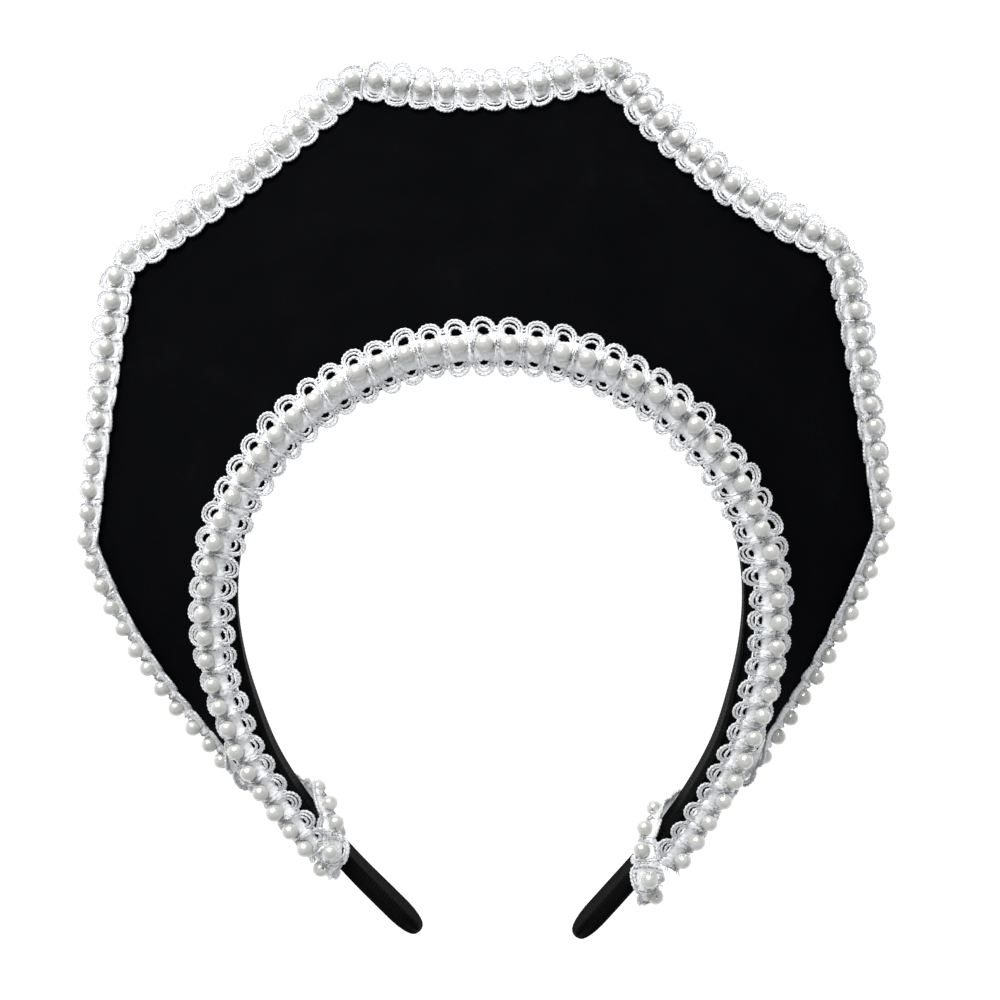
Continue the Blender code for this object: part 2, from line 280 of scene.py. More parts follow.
def front_sections():
    """The front braid's sections from its left end to its right one."""
    sections = []
    for s in np.arange(FRONT_ENDS[0], FRONT_ENDS[1], SECTION_STEP):
        pull = LEFT_PULL if s < 0 else RIGHT_PULL
        pulled_in = pull * np.clip((abs(s) - PULL_FROM) / (-FRONT_ENDS[0] - PULL_FROM), 0.0, 1.0)
        seat, outward, row = front_seat(s, pulled_in)
        inward, out = fall_directions(outward, row)
        sections.append(braid_section(seat, inward, out, max(row.half_in, LOOPS_IN), row.half_out))
    return np.array(sections)


def wrap_sections(side):
    """The sections of a rim braid's end, from the corner behind the arm to the end on the front."""
    table = np.array(WRAP, float)
    places = np.linspace(0, len(table) - 1, 8 * len(table))
    rows = [Wrap(*row) for row in
            np.array([np.interp(places, np.arange(len(table)), column) for column in table.T]).T]
    middles, faces = [], []
    for row in rows:
        corner, outward = arch_frame(row.right if side > 0 else -row.left)[:2]
        cosine, sine = turn(row.facing)
        out = row.right_out if side > 0 else row.left_out
        middles.append(corner + out * outward + row.up * UP)
        faces.append(cosine * outward + sine * UP)
    along = side * unit(np.gradient(np.array(middles), axis=0))
    across = unit(np.cross(np.array(faces), along))
    shifts = np.array([[-1.0, 0.0], [0.0, -TAPE_HALF], [0.0, TAPE_HALF], [1.0, 0.0]])
    half = np.array([[row.half] for row in rows])
    reach = shifts[:, 0] * half + shifts[:, 1]
    return np.array(middles)[:, None] + reach[:, :, None] * across[:, None]


def rim_rise(row):
    """How high the rim braid's middle lies above the panel's edge, to clear its corner and its face."""
    cosine, sine = turn((row.fall_in + row.fall_out) / 2)
    cos_face, sin_face = turn(min(row.fall_in, PANEL_SLOPE))
    at_corner = (SEAT_GAP - RIM_EDGE * sine) / cosine
    face_height = (TAPE_HALF * cosine - RIM_EDGE) * sin_face / cos_face
    return max(at_corner, face_height + SEAT_GAP / cos_face - TAPE_HALF * sine)


CORNER_TUCK = 2.8
TUCK_REACH = 4.5
CUT_CORNER = 4
CUT_DEPTH = 1.1


def rim_sections():
    """The rim braid's sections: the left wrapped end, the rim and the right wrapped end.

    At each corner the outer loops are tucked in, and the upper right one is cut across a little."""
    corners = np.array([[corner.x, corner.y] for corner in RIM[1:-1]])
    sections = list(wrap_sections(-1)[::-1])
    for row, outward in zip(RIM_ROWS, RIM_OUTWARD):
        inward, out = fall_directions(outward, row)
        middle = np.array([row.x, row.y, row.z + rim_rise(row)])
        near = np.exp(-(np.linalg.norm(corners - [row.x, row.y], axis=1) / TUCK_REACH) ** 2)
        middle = middle + CUT_DEPTH * near[CUT_CORNER - 1] * (0.4 * UP - outward)
        half_out = row.half_out - CORNER_TUCK * near.max()
        sections.append(braid_section(middle, inward, out, max(row.half_in, LOOPS_UP), half_out))
    return np.array(sections + list(wrap_sections(1)))


def soften(values, step, reach):
    """A running average with a bell-shaped weight along the first axis."""
    count = int(3 * reach / step)
    weights = np.exp(-0.5 * (np.arange(-count, count + 1) * step / reach) ** 2)
    weights /= weights.sum()
    padded = np.concatenate([np.repeat(values[:1], count, 0), values, np.repeat(values[-1:], count, 0)])
    return sum(w * padded[i:i + len(values)] for i, w in enumerate(weights))


def make_path(sections, softness):
    """The braid's path at even steps, with its sections' points and the three faces' normals."""
    middles = (sections[:, 1] + sections[:, 2]) / 2
    along = lengths_along(middles)
    even = np.arange(0.0, along[-1], SECTION_STEP)
    flat = sections.reshape(len(sections), 12)
    points = np.array([np.interp(even, along, column) for column in flat.T]).T
    points = soften(points, SECTION_STEP, softness).reshape(-1, 4, 3)
    forward = np.gradient((points[:, 1] + points[:, 2]) / 2, axis=0)
    across = np.diff(points, axis=1)
    normals = unit(np.cross(forward[:, None], across))
    middles = points[:, 1:3].mean(axis=1)
    ends = unit(np.array([middles[1] - middles[0], middles[-1] - middles[-2]]))
    return Path(even, points, soften(normals, SECTION_STEP, softness), even[-1], ends)


front_path = make_path(front_sections(), 0.6)
rim_path = make_path(rim_sections(), CORNER_SOFTNESS)
print("front braid:", round(front_path.length), "mm, rim braid:", round(rim_path.length), "mm")

# %% Bend flat coordinates onto a braid
LOOP_HALF = 7.4
LEAST_SHARE = 0.45
CURL_RADIUS = 6.0
FOLD_ROUND = 0.9


def bend(path, u, v, w):
    """Points at u along the braid, v across it and w above its underside, as rows of x, y, z.

    Where the strip is narrow the loops are drawn in, and what still reaches past it curls away. Past
    either end of the braid the points go straight on."""
    u, v, w = np.broadcast_arrays(u, v, w)
    points = np.stack([np.stack([np.interp(u, path.along, path.points[:, j, c]) for c in range(3)], -1)
                       for j in range(4)], -2)
    normals = np.stack([np.stack([np.interp(u, path.along, path.normals[:, j, c]) for c in range(3)], -1)
                        for j in range(3)], -2)
    side = np.where(v < 0, 0, 2)[..., None, None]
    tip = np.where(v[..., None] < 0, points[..., 0, :], points[..., 3, :])
    tape = np.where(v[..., None] < 0, points[..., 1, :], points[..., 2, :])
    slope = np.take_along_axis(normals, np.broadcast_to(side, side.shape[:-2] + (1, 3)), -2)[..., 0, :]
    width = np.linalg.norm(tip - tape, axis=-1)
    away = unit(tip - tape)
    beyond = np.abs(v) - TAPE_HALF
    drawn_in = np.clip(width / (LOOP_HALF - TAPE_HALF), LEAST_SHARE, 1.0)
    reach = np.maximum(beyond, 0.0) * drawn_in
    curl = np.clip((reach - width) / CURL_RADIUS, 0.0, 1.5)
    lift = CURL_RADIUS * (1 - np.cos(curl))
    reach = np.minimum(reach, width) + CURL_RADIUS * np.sin(curl)
    share = np.clip((v / TAPE_HALF + 1) / 2, 0.0, 1.0)[..., None]
    base = (1 - share) * points[..., 1, :] + share * points[..., 2, :]
    blend = np.clip((beyond + FOLD_ROUND) / (2 * FOLD_ROUND), 0.0, 1.0)[..., None]
    face = unit((1 - blend) * normals[..., 1, :] + blend * slope)
    turned = np.cos(curl)[..., None] * face - np.sin(curl)[..., None] * away
    past = u - np.clip(u, 0.0, path.length)
    past = past[..., None] * np.where(past[..., None] < 0, path.ends[0], path.ends[1])
    return base + reach[..., None] * away + lift[..., None] * face + w[..., None] * turned + past


test = bend(front_path, front_path.length / 2, np.array([-LOOP_HALF, 0.0, LOOP_HALF]), 0.0)
print("across the front braid at its middle:", test.round(1).tolist())

# %% [markdown]
# Thousands of small cords are too many for curve objects, so each kind is made as one joined mesh from
# number arrays. A cord is a ring of corners that is carried along a line. The ring isn't round: it
# has two lobes, and it turns as it goes, which is just how a two-ply cord looks.

# %% Make meshes from arrays
PICTURE_SPACE = bpy.context.scene.collection
LEAST_HEIGHT = 0.00005


def closed_mesh(name, points, faces):
    """A smooth mesh object from points in millimetres and faces of four corners."""
    mesh = bpy.data.meshes.new(name)
    places = (points - MIDDLE) * MM
    places[:, 2] = np.maximum(places[:, 2], LEAST_HEIGHT)
    mesh.vertices.add(len(places))
    mesh.vertices.foreach_set("co", places.astype(np.float32).ravel())
    mesh.loops.add(faces.size)
    mesh.loops.foreach_set("vertex_index", faces.astype(np.int32).ravel())
    mesh.polygons.add(len(faces))
    mesh.polygons.foreach_set("loop_start", np.arange(0, faces.size, 4, dtype=np.int32))
    mesh.update(calc_edges=True)
    mesh.shade_smooth()
    piece = bpy.data.objects.new(name, mesh)
    PICTURE_SPACE.objects.link(piece)
    return piece


print("pieces go to the collection", PICTURE_SPACE.name)


# %% Carry a ring of corners along a line
def tube_faces(rings, sides, closed):
    """The faces of one tube whose rings follow each other, with its ends closed by flat faces."""
    ring = np.arange(sides)
    count = rings if closed else rings - 1
    start = np.arange(count)[:, None] * sides
    after = (start + sides) % (rings * sides)
    turned = (ring + 1) % sides
    walls = np.stack([start + ring, start + turned, after + turned, after + ring], -1).reshape(-1, 4)
    if closed:
        return walls
    caps = []
    for k in range(sides // 2 - 1):
        cap = np.array([k, k + 1, sides - 2 - k, sides - 1 - k])
        caps += [cap[::-1], cap + (rings - 1) * sides]
    return np.vstack([walls, caps])


def cords(path, lines, radius, sides, lobes=0.0, lay=2.3, closed=False):
    """Points and faces of many cords. lines is cords × rings × (u, v, w), still flat.

    lobes is how deep the groove of the twist is, and lay is the length of one whole twist."""
    centres = bend(path, lines[..., 0], lines[..., 1], lines[..., 2])
    if closed:
        forward = np.roll(centres, -1, 1) - np.roll(centres, 1, 1)
    else:
        forward = np.gradient(centres, axis=1)
    forward = unit(forward)
    face = bend(path, lines[..., 0], lines[..., 1], lines[..., 2] + 1.0) - centres
    side = unit(np.cross(forward, face))
    face = np.cross(side, forward)
    steps = np.linalg.norm(np.diff(centres, axis=1), axis=-1)
    run = np.concatenate([np.zeros((len(lines), 1)), np.cumsum(steps, 1)], 1)
    corner = 2 * np.pi * np.arange(sides) / sides
    twist = 2 * np.pi * run / lay
    if closed:
        whole = run[:, -1:] + np.linalg.norm(centres[:, :1] - centres[:, -1:], axis=-1)
        twist *= lay * np.maximum(1, np.round(whole / lay)) / whole
    angle = corner + twist[..., None]
    size = radius * (1 - lobes * (1 - np.cos(2 * corner)) / 2)
    sideways = (size * np.cos(angle))[..., None] * side[..., None, :]
    upwards = (size * np.sin(angle))[..., None] * face[..., None, :]
    points = centres[..., None, :] + sideways + upwards
    count, rings = lines.shape[:2]
    faces = tube_faces(rings, sides, closed)
    offsets = np.arange(count)[:, None, None] * rings * sides
    return points.reshape(-1, 3), (faces[None] + offsets).reshape(-1, 4)


def joined(parts):
    """One set of points and faces from several."""
    points, faces, count = [], [], 0
    for part_points, part_faces in parts:
        points.append(part_points)
        faces.append(part_faces + count)
        count += len(part_points)
    return np.vstack(points), np.vstack(faces)


print("a straight test cord has", len(tube_faces(10, 8, False)), "faces")

# %% [markdown]
# On each side of the tape, every pearl has a scallop: two cords side by side on the outside, then a thin
# slit, then a thicker cord round a small dark opening. Where two scallops meet there is a tiny ring. Each
# cord goes straight up, round half a circle and straight down. Small random changes keep them from
# looking stamped: a loop leans, tips over or is pulled a little longer.

# %% Draw the scallops
Scallop = namedtuple("Scallop", "arc tip radius rings sides lobes lay")
SCALLOPS = [
    Scallop(2.46, 6.90, 0.44, 40, 8, 0.42, 2.0),
    Scallop(1.98, 6.12, 0.37, 34, 6, 0.40, 1.8),
    Scallop(1.56, 4.85, 0.44, 28, 8, 0.42, 2.0),
]
SCALLOP_FOOT = 2.3
CORD_HEIGHT = 0.5
RING_ARC = 0.55
RING_CORD = 0.36
RING_PLACE = 4.2
chance = np.random.default_rng(7)


def scallop_lines(places, side, cord, pull, lean, tip_over):
    """The flat line of one cord of every scallop on one side of a braid."""
    count = len(places)
    straight = cord.tip - cord.arc - SCALLOP_FOOT
    run = np.linspace(0.0, 2 * straight + np.pi * cord.arc, cord.rings)
    angle = np.clip((run - straight) / cord.arc, 0.0, np.pi)
    across = -cord.arc * np.cos(angle) * (1 + 0.04 * chance.standard_normal((count, 1)))
    rise = np.minimum(run, straight) - np.maximum(run - straight - np.pi * cord.arc, 0.0)
    rise = (rise + cord.arc * np.sin(angle)) * (pull + 0.018 * chance.standard_normal((count, 1)))
    height = rise / (cord.tip - SCALLOP_FOOT)
    u = places[:, None] + across + (lean + 0.10 * chance.standard_normal((count, 1))) * height ** 2
    v = side * (SCALLOP_FOOT + rise)
    w = CORD_HEIGHT + 0.08 * chance.standard_normal((count, 1)) + tip_over * across + 0.28 * height ** 2
    return np.stack(np.broadcast_arrays(u, v, w), -1)


def ring_lines(places, side):
    """The flat lines of the tiny rings between the scallops."""
    count = len(places)
    t = np.linspace(0.0, 2 * np.pi, 12, endpoint=False)
    size = RING_ARC * (1 + 0.15 * chance.standard_normal((count, 1)))
    u = places[:, None] + 0.15 * chance.standard_normal((count, 1)) + size * np.cos(t)
    v = side * (RING_PLACE + 0.18 * chance.standard_normal((count, 1)) + size * np.sin(t))
    w = CORD_HEIGHT + 0.12 + 0.0 * u
    return np.stack([u, v, w], -1)


def scallop_parts(path, places, side):
    """All the cords of one side of a stretch of braid."""
    column = (len(places), 1)
    pull = 1 + 0.05 * chance.standard_normal(column)
    lean = 0.42 * chance.standard_normal(column)
    tip_over = 0.09 * chance.standard_normal(column)
    parts = []
    for cord in SCALLOPS:
        lines = scallop_lines(places, side, cord, pull, lean, tip_over)
        parts.append(cords(path, lines, cord.radius, cord.sides, cord.lobes, cord.lay))
    between = (places[1:] + places[:-1]) / 2
    parts.append(cords(path, ring_lines(between, side), RING_CORD, 6, 0.3, 1.2, closed=True))
    return parts


print("cords to a scallop:", len(SCALLOPS))

# %% [markdown]
# The tape in the middle is woven so densely that single threads hardly show. It is a thick strip with a
# grained top that puffs up between two pearls, and its edge swells between the scallops. It lies a
# little towards the inner side, where it hides more of each opening. Over each puff a bundle of thread
# crosses from side to side, drawn together in the middle, and one thin thread runs through all the
# pearls.

# %% Weave the tape
TAPE_TOP = 1.05
TAPE_STEP = 0.36
TAPE_REACH = 3.48
TAPE_SWELL = 0.38
TAPE_SHIFT = -0.25
PUFF = 1.1
PUFF_HALF = 0.95
GRAIN = 0.10
ACROSS = 17
FRAYED = 18
CROSSING_OFFSETS = (-1.0, -0.5, 0.0, 0.5, 1.0)
CROSSING_RADIUS = 0.24


def tape_height(u, share, places, pitch):
    """How high the tape's top lies: domed across, and puffed up between two pearls."""
    between = np.mod(u - places[0], pitch) - pitch / 2
    puffed = np.exp(-(between / (PUFF_HALF + 0.5 * share ** 2)) ** 2)
    share = np.minimum(np.abs(share), 1.0)
    return 0.22 + TAPE_TOP * (1 - share ** 3.2) + PUFF * puffed * (1 - share ** 2.4)


def tape_part(path, places, pitch):
    """The woven middle of a stretch of braid: a strip with a grained top and a flat underside."""
    start = max(places[0] - pitch / 2, 0.2)
    end = min(places[-1] + pitch / 2, path.length - 0.2)
    u = np.linspace(start, end, int((end - start) / TAPE_STEP))[:, None]
    share = np.linspace(-1.0, 1.0, ACROSS)
    half = TAPE_REACH - TAPE_SWELL * np.cos(2 * np.pi * (u - places[0]) / pitch)
    half = half + 0.1 * chance.standard_normal((len(u), 1))
    v = half * share + TAPE_SHIFT
    rib = np.cos(2 * np.pi * u / 1.26 + 2.2 * np.abs(v)) * np.cos(2 * np.pi * v / 1.1)
    grain = GRAIN * rib + 0.09 * chance.standard_normal(v.shape)
    top = np.stack(np.broadcast_arrays(u, v, tape_height(u, share, places, pitch) + grain), -1)
    low = np.linspace(0.9, -0.9, 9)
    rough = 0.08 * chance.random((len(u), len(low)))
    under = np.stack(np.broadcast_arrays(u, half * low + TAPE_SHIFT, 0.04 + rough), -1)
    lines = np.concatenate([top, under], 1)
    points = bend(path, lines[..., 0], lines[..., 1], lines[..., 2])
    rings, sides = points.shape[:2]
    return points.reshape(-1, 3), tube_faces(rings, sides, False)[:, ::-1]


print("the tape has a section every", TAPE_STEP, "mm")


# %% Lay the crossing and the frayed threads
def crossing_parts(path, places, pitch):
    """A bundle of threads between every two pearls, from one side of the tape to the other."""
    parts = []
    t = np.linspace(-1.0, 1.0, 11)
    for offset in CROSSING_OFFSETS:
        between = (places + pitch / 2)[:, None]
        skew = 0.25 * chance.standard_normal(between.shape)
        u = between + offset * (0.66 + 0.80 * t ** 2) + skew * t
        v = 3.85 * t + 0.15 * chance.standard_normal(between.shape)
        lift = 0.05 + 0.08 * chance.standard_normal(between.shape)
        w = tape_height(u, v / TAPE_REACH, places, pitch) + lift
        parts.append(cords(path, np.stack([u, v + TAPE_SHIFT, w], -1), CROSSING_RADIUS, 6, 0.35, 1.5))
    return parts


def frayed_parts(path, u, ahead):
    """Loose threads at a braid's cut end, which stick out the way that ahead, 1 or -1, says."""
    t = np.linspace(0.0, 1.0, 8)
    column = (FRAYED, 1)
    start = np.linspace(-5.0, 5.0, FRAYED)[:, None]
    along = u + ahead * ((1.2 + 1.6 * chance.random(column)) * t - 0.8)
    v = start + 0.9 * chance.standard_normal(column) * t ** 2
    w = 0.6 + (0.5 + 0.8 * chance.standard_normal(column)) * t ** 2
    return [cords(path, np.stack(np.broadcast_arrays(along, v, w), -1), 0.14, 5)]


print("threads in a crossing:", len(CROSSING_OFFSETS), "and in a frayed end:", FRAYED)

# %% [markdown]
# A pearl is a drilled ball. A UV sphere would have no hole, so it is turned from a profile instead: the
# outside, the rounded lip of the hole and a little of the bore. Its axis lies along the braid, where
# the thread goes, tilted at random, so that some holes show.

# %% Thread the pearls
PEARL_RADIUS = 2.14
PEARL_HEIGHT = 2.6
HOLE_RADIUS = 0.42
PEARL_RINGS = 13
PEARL_SIDES = 22
BORE_RADII = (0.3, 0.36)
BORE_STARTS = (0.7, 0.1)


def pearl_profile():
    """Distances along and away from the bore, from one end of a pearl to the other."""
    first = np.arcsin(HOLE_RADIUS / PEARL_RADIUS)
    angles = np.linspace(first + 0.08, np.pi - first - 0.08, PEARL_RINGS)
    along = -PEARL_RADIUS * np.cos(angles)
    away = PEARL_RADIUS * np.sin(angles)
    lip = PEARL_RADIUS * np.cos(first)
    starts = np.array(BORE_STARTS)
    along = np.concatenate([starts - lip, along, lip - starts[::-1]])
    away = np.concatenate([BORE_RADII, away, BORE_RADII[::-1]])
    return along, away


def pearl_parts(path, places):
    """All the pearls of a stretch of braid as one set of points and faces."""
    along, away = pearl_profile()
    angles = 2 * np.pi * np.arange(PEARL_SIDES) / PEARL_SIDES
    ball = np.stack([
        np.repeat(along[:, None], PEARL_SIDES, 1),
        away[:, None] * np.cos(angles),
        away[:, None] * np.sin(angles),
    ], -1).reshape(-1, 3)
    count = len(places)
    shift = 0.16 * chance.standard_normal((count, 3))
    centre = bend(path, places + shift[:, 0], shift[:, 1], PEARL_HEIGHT + 0.5 * shift[:, 2])
    ahead = bend(path, places + 1.0, 0.0, PEARL_HEIGHT) - bend(path, places - 1.0, 0.0, PEARL_HEIGHT)
    ahead = unit(unit(ahead) + 0.28 * chance.standard_normal((count, 3)))
    over = bend(path, places, 0.0, PEARL_HEIGHT + 1.0) - bend(path, places, 0.0, PEARL_HEIGHT)
    sideways = unit(np.cross(over, ahead))
    over = np.cross(ahead, sideways)
    size = 1 + 0.018 * chance.standard_normal((count, 1, 1))
    axes = np.stack([ahead, sideways, over], 1)
    points = centre[:, None] + size * np.einsum("pk,nkc->npc", ball, axes)
    faces = tube_faces(len(along), PEARL_SIDES, False)
    offsets = np.arange(count)[:, None, None] * len(ball)
    return points.reshape(-1, 3), (faces[None] + offsets).reshape(-1, 4)


def thread_parts(path, places):
    """The thread that runs from each pearl to the next, sagging between them."""
    t = np.linspace(0.0, 1.0, 9)
    start = places[:-1, None]
    gap = np.diff(places)[:, None]
    inside = 1.5 / gap
    u = start + gap * (inside + (1 - 2 * inside) * t)
    w = PEARL_HEIGHT - 1.1 * np.sin(np.pi * t) + 0.0 * u
    v = 0.15 * chance.standard_normal(start.shape) * np.sin(np.pi * t)
    return [cords(path, np.stack([u, v, w], -1), 0.17, 5, 0.3, 0.9)]


print("pearl diameter:", 2 * PEARL_RADIUS, "mm")

# %% [markdown]
# The finishes come before the pieces, so that each piece can be given its own as it is made. The braid is
# glossy rayon: white, but seen close up every strand is streaked bright and grey, and the grey is mostly the
# shade between the strands. Fine streaked noise in colour and bump, in the object's own coordinates, gives
# that at any distance; its grey end is painted shade.

# %% Mix the white rayon
def new_finish(name):
    """An empty material with its shader, and helpers to add nodes to it."""
    material = bpy.data.materials.new(name)
    material.use_nodes = True
    nodes = material.node_tree.nodes
    return material, nodes, material.node_tree.links, nodes["Principled BSDF"]


def noise(nodes, links, scale, detail, roughness=0.5, stretch=(1.0, 1.0, 1.0)):
    """A noise texture in the object's own coordinates, stretched along its axes."""
    where = nodes.new("ShaderNodeTexCoord")
    mapping = nodes.new("ShaderNodeMapping")
    mapping.inputs["Scale"].default_value = stretch
    texture = nodes.new("ShaderNodeTexNoise")
    texture.inputs["Scale"].default_value = scale
    texture.inputs["Detail"].default_value = detail
    texture.inputs["Roughness"].default_value = roughness
    links.new(where.outputs["Object"], mapping.inputs["Vector"])
    links.new(mapping.outputs["Vector"], texture.inputs["Vector"])
    return texture.outputs["Fac"]


def colour_steps(nodes, links, factor, stops):
    """A colour ramp through (place, colour) stops."""
    ramp = nodes.new("ShaderNodeValToRGB")
    elements = ramp.color_ramp.elements
    for element, (place, colour) in zip([elements[0], elements[1]], [stops[0], stops[-1]]):
        element.position = place
        element.color = (*colour, 1.0)
    for place, colour in stops[1:-1]:
        elements.new(place).color = (*colour, 1.0)
    links.new(factor, ramp.inputs["Fac"])
    return ramp.outputs["Color"]


def bump(nodes, links, height, distance, strength):
    node = nodes.new("ShaderNodeBump")
    node.inputs["Distance"].default_value = distance
    node.inputs["Strength"].default_value = strength
    links.new(height, node.inputs["Height"])
    return node.outputs["Normal"]


def rayon(name, dark, light, bright):
    """Glossy white yarn, finely streaked; the grey of the streaked colour is painted shade between the
    strands.
    """
    material, nodes, links, shader = new_finish(name)
    streaks_and_shade = noise(nodes, links, 1700.0, 3.0, 0.65)
    # The grey end of this ramp is painted shade between the strands, laid on the yarn's own white.
    colour = colour_steps(nodes, links, streaks_and_shade, [(0.30, dark), (0.50, light), (0.70, bright)])
    links.new(colour, shader.inputs["Base Color"])
    links.new(bump(nodes, links, streaks_and_shade, 0.0002, 0.6), shader.inputs["Normal"])
    shader.inputs["Roughness"].default_value = 0.36
    shader.inputs["Specular IOR Level"].default_value = 0.6
    shader.inputs["Subsurface Weight"].default_value = 0.3
    shader.inputs["Subsurface Radius"].default_value = (1.0, 1.0, 1.0)
    shader.inputs["Subsurface Scale"].default_value = 0.0008
    return material


cord_finish = rayon("white_cord", (0.44, 0.45, 0.48), (0.79, 0.795, 0.81), (0.90, 0.90, 0.90))
tape_finish = rayon("white_tape", (0.74, 0.75, 0.77), (0.95, 0.955, 0.965), (0.98, 0.98, 0.98))
print("white finishes:", cord_finish.name, tape_finish.name)

# %% Mix the pearl lacquer
def pearl_lacquer():
    """Cream beads with a clear coat; the lacquer clouds a little and is thinner in places."""
    material, nodes, links, shader = new_finish("pearl_lacquer")
    clouds = noise(nodes, links, 420.0, 2.0)
    colour = colour_steps(nodes, links, clouds, [
        (0.30, (0.53, 0.525, 0.475)), (0.55, (0.61, 0.605, 0.575)), (0.75, (0.67, 0.67, 0.655))])
    links.new(colour, shader.inputs["Base Color"])
    shader.inputs["Roughness"].default_value = 0.30
    shader.inputs["Specular IOR Level"].default_value = 0.55
    shader.inputs["Subsurface Weight"].default_value = 0.35
    shader.inputs["Subsurface Radius"].default_value = (1.0, 0.95, 0.85)
    shader.inputs["Subsurface Scale"].default_value = 0.0012
    shader.inputs["Coat Weight"].default_value = 1.0
    shader.inputs["Coat IOR"].default_value = 1.75
    shader.inputs["Coat Roughness"].default_value = 0.13
    shader.inputs["Sheen Weight"].default_value = 0.15
    shader.inputs["Sheen Roughness"].default_value = 0.4
    return material


pearl_finish = pearl_lacquer()
print("pearl finish:", pearl_finish.name)

# %% [markdown]
# Velvet looks black from the front and lifts to grey only at a grazing angle, because its pile stands
# on end. The sheen part of the shader does just that. A coarse noise darkens and lightens the pile where
# it was brushed one way or the other, and a fine one is the pile itself.

# %% Mix the velvet and the ribbon
def velvet():
    material, nodes, links, shader = new_finish("black_velvet")
    brushed = noise(nodes, links, 38.0, 4.0, 0.62)
    colour = colour_steps(nodes, links, brushed, [
        (0.36, (0.0014, 0.0015, 0.0019)), (0.60, (0.0021, 0.0022, 0.0028)), (0.74, (0.0032, 0.0034, 0.0042))])
    links.new(colour, shader.inputs["Base Color"])
    pile = noise(nodes, links, 3200.0, 2.0, 0.6)
    links.new(bump(nodes, links, pile, 0.0003, 0.5), shader.inputs["Normal"])
    shader.inputs["Roughness"].default_value = 0.95
    shader.inputs["Specular IOR Level"].default_value = 0.012
    shader.inputs["Sheen Weight"].default_value = 0.002
    shader.inputs["Sheen Roughness"].default_value = 0.35
    shader.inputs["Sheen Tint"].default_value = (0.75, 0.78, 0.85, 1.0)
    return material


def ribbon():
    material, nodes, links, shader = new_finish("black_ribbon")
    threads = noise(nodes, links, 1500.0, 3.0, 0.6)
    colour = colour_steps(nodes, links, threads, [
        (0.32, (0.0014, 0.0014, 0.0018)), (0.55, (0.0026, 0.0026, 0.0031)), (0.75, (0.0055, 0.0055, 0.0064))])
    links.new(colour, shader.inputs["Base Color"])
    links.new(bump(nodes, links, threads, 0.0002, 0.5), shader.inputs["Normal"])
    shader.inputs["Roughness"].default_value = 0.68
    shader.inputs["Specular IOR Level"].default_value = 0.045
    shader.inputs["Sheen Weight"].default_value = 0.004
    shader.inputs["Sheen Roughness"].default_value = 0.4
    return material


velvet_finish = velvet()
ribbon_finish = ribbon()
print("dark finishes:", velvet_finish.name, ribbon_finish.name)

# %% [markdown]
# Now the pieces, and first the band. The real one is a plastic hoop wound in ribbon, so its section is a
# flat rounded bar. It is swept along the arch with a section every quarter of a millimetre, which is
# fine enough for the ribbon's ribs and for the small teeth of its woven edge. On the arms the bar is
# turned a few degrees about its front edge, so that little of its back edge shows inside the arch.

# %% Shape the band's section
BAND_STEP = 0.25
BAND_ROUND = 0.55
RIB_PITCH = 0.95
RIB_DEPTH = 0.022
TOOTH = 0.10
TOOTH_ACROSS = 0.3
TOOTH_DOWN = 1.0
CORNER_TURN = np.radians([0, 30, 60, 90])
LEFT_LONGER = 1.2
RIGHT_LONGER = 3.6
LEFT_TUCK = 4.0
RIGHT_TUCK = 2.5
TUCK_PLACE = 96.0
TUCK_SPREAD = 26.0
TIP_BACK = np.array([0.0, 0.3, 1.0, 2.0, 3.4, 5.2, 7.5])
TIP_SHARE = np.array([0.12, 0.36, 0.56, 0.70, 0.83, 0.94, 1.0])
TIP_THIN = np.array([0.30, 0.58, 0.80, 0.92, 0.98, 1.0, 1.0])


def bar_section(width):
    """Points round the band's rounded section, as distances through it and down its width."""
    thick = BAND_THICKNESS - BAND_ROUND
    deep = width - BAND_ROUND
    ring = []
    for x, y, turned in ((BAND_ROUND, BAND_ROUND, 180), (BAND_ROUND, deep, 90),
                         (thick, deep, 0), (thick, BAND_ROUND, -90)):
        for angle in np.radians(turned) - CORNER_TURN + np.pi / 2:
            ring.append((x + BAND_ROUND * np.cos(angle), y - BAND_ROUND * np.sin(angle)))
    return np.array(ring)


print("points round the band:", len(bar_section(ARCH[0].width)))


# %% Sweep the section along the arch
def band_part():
    """The band's skin: rings of points round its section, from tip to tip."""
    left, right = -ALONG[-1] - LEFT_LONGER, ALONG[-1] + RIGHT_LONGER
    places = np.linspace(left + 0.02, right - 0.02, int((right - left) / BAND_STEP))
    rings = []
    for s in places:
        corner, outward, row = arch_frame(s)
        tuck = LEFT_TUCK if s < 0 else RIGHT_TUCK
        cosine, sine = turn(row.lean - tuck * np.exp(-((abs(s) - TUCK_PLACE) / TUCK_SPREAD) ** 2))
        across = -sine * outward - cosine * UP
        out = cosine * outward - sine * UP
        back = min(s - left, right - s)
        share = np.interp(back, TIP_BACK, TIP_SHARE)
        thin = np.interp(back, TIP_BACK, TIP_THIN)
        trim = (1 - share) / 2 * row.width
        rib = RIB_DEPTH * np.cos(2 * np.pi * s / RIB_PITCH)
        tooth = TOOTH * (0.5 + 0.5 * np.cos(2 * np.pi * s / RIB_PITCH))
        ring = bar_section(row.width)
        middle = BAND_THICKNESS / 2
        ring[:, 0] = middle + (ring[:, 0] - middle) * (1 + rib) * thin
        ring[:, 0] -= tooth * (ring[:, 0] < TOOTH_ACROSS) * (ring[:, 1] < TOOTH_DOWN)
        ring[:, 1] = trim + (ring[:, 1] / row.width) * (row.width - 2 * trim)
        rings.append(corner + ring[:, :1] * out + ring[:, 1:] * across)
    points = np.array(rings)
    return points.reshape(-1, 3), tube_faces(len(points), points.shape[1], False)


band = closed_mesh("ribbon_band", *band_part())
band.data.materials.append(ribbon_finish)
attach(band, "root")
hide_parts("headband")
print("band faces:", len(band.data.polygons))

# %% [markdown]
# The panel is stiff board under velvet. Its straight ribs run from the arch to the rim, like the sticks of
# a fan, so the same ribs are drawn here, only more of them. Each rib is a closed outline: along the
# front, round the edge where the velvet turns over, and back along the underside.

